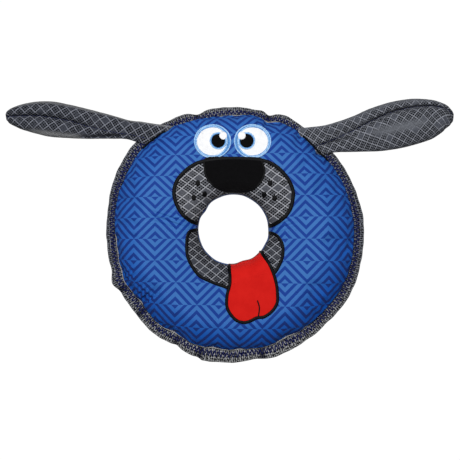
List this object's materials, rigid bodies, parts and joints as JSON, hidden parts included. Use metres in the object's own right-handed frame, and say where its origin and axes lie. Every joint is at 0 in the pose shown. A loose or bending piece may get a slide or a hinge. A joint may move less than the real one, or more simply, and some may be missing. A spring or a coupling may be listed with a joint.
{
  "type": "flying ring",
  "caption": "Stuffed fabric flying ring for a dog, with an appliqued dog's face round the central hole and long padded ears hinged at its rim.",
  "frame": {"origin": "centre of the hole, on the plane of the outer seam", "axes": "+Z out of the face, +Y to the top of the dog's head, +X to the right as the face is looked at"},
  "size_m": [0.4298, 0.2538, 0.0412],
  "materials": {
    "printed_fabric": "woven, printed",
    "back_fabric": "ripstop",
    "filling": "fibre",
    "squeaker_bulb": "translucent",
    "squeaker_reed": "smooth",
    "binding_tape": "mesh tape",
    "thread": "polyester thread",
    "ripstop": "ripstop mesh",
    "red_fabric": "brushed",
    "black_embroidery": "satin stitch",
    "blue_embroidery": "satin stitch",
    "white_embroidery": "satin stitch"
  },
  "bodies": {
    "ring": {"front_cover": "printed_fabric", "back_cover": "back_fabric", "fibre_filling": "filling", "squeaker_bulb": "squeaker_bulb", "squeaker_reed": "squeaker_reed", "edge_binding": "binding_tape", "outer_seam_thread": "thread", "hole_seam_thread": "thread", "front_zigzag_thread": "thread", "back_zigzag_thread": "thread", "muzzle_patch": "ripstop", "muzzle_border": "black_embroidery", "tongue_border": "black_embroidery", "tongue_patch": "red_fabric", "tongue_crease": "black_embroidery", "nose_patch": "black_embroidery", "left_lip_patch": "ripstop", "left_lip_border": "black_embroidery", "right_lip_patch": "ripstop", "right_lip_border": "black_embroidery", "whisker_dots": "black_embroidery", "left_eye_border": "blue_embroidery", "left_eye_white": "white_embroidery", "left_iris_ring": "blue_embroidery", "left_pupil": "black_embroidery", "left_glint": "white_embroidery", "right_eye_border": "blue_embroidery", "right_eye_white": "white_embroidery", "right_iris_ring": "blue_embroidery", "right_pupil": "black_embroidery", "right_glint": "white_embroidery", "left_ear_root": "ripstop", "right_ear_root": "ripstop"},
    "left_ear": {"left_ear_upper_panel": "ripstop", "left_ear_lower_panel": "ripstop", "left_ear_filling": "filling", "left_ear_seam_thread": "thread"},
    "right_ear": {"right_ear_upper_panel": "ripstop", "right_ear_lower_panel": "ripstop", "right_ear_filling": "filling", "right_ear_seam_thread": "thread"}
  },
  "joints": [
    {"name": "left_ear_flop", "type": "hinge", "parent": "ring", "child": "left_ear", "pos_m": [-0.0868, 0.09411, 0.0045], "axis": [0.749, 0.6626, 0], "range_deg": [-90, 90]},
    {"name": "right_ear_flop", "type": "hinge", "parent": "ring", "child": "right_ear", "pos_m": [0.09295, 0.08831, 0.0045], "axis": [0.7046, -0.7096, 0], "range_deg": [-90, 90]}
  ]
}
